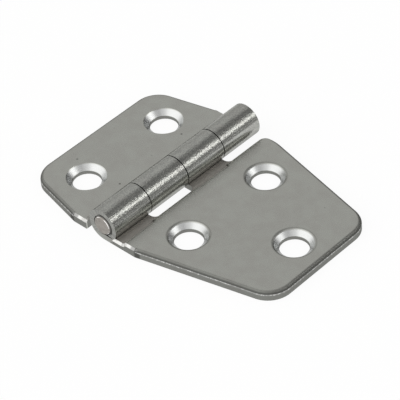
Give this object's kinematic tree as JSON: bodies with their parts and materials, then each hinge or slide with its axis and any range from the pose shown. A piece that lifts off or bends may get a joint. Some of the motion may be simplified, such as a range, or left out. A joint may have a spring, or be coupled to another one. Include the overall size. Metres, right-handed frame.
{
  "type": "stainless steel hinge",
  "caption": "Pressed stainless butt hinge with one long and one short tapered leaf, curled knuckles on a plain pin and countersunk screw holes.",
  "frame": {"origin": "on the mounting plane, under the middle of the pin", "axes": "+X towards the long leaf's outer edge, +Y along the pin away from the long leaf's end knuckle, +Z away from the mounting plane on the barrel side"},
  "size_m": [0.0557, 0.0384, 0.0065],
  "materials": {
    "pressed_sheet": "satin rolled stainless sheet",
    "pin_rod": "drawn stainless rod with ground ends"
  },
  "bodies": {
    "long_leaf": {"long_leaf": "pressed_sheet", "hinge_pin": "pin_rod"},
    "short_leaf": {"short_leaf": "pressed_sheet"}
  },
  "joints": [
    {"name": "leaf_fold", "type": "hinge", "parent": "long_leaf", "child": "short_leaf", "pos_m": [0, 0, 0.00325], "axis": [0, 1, 0], "range_deg": [-95, 187]}
  ]
}
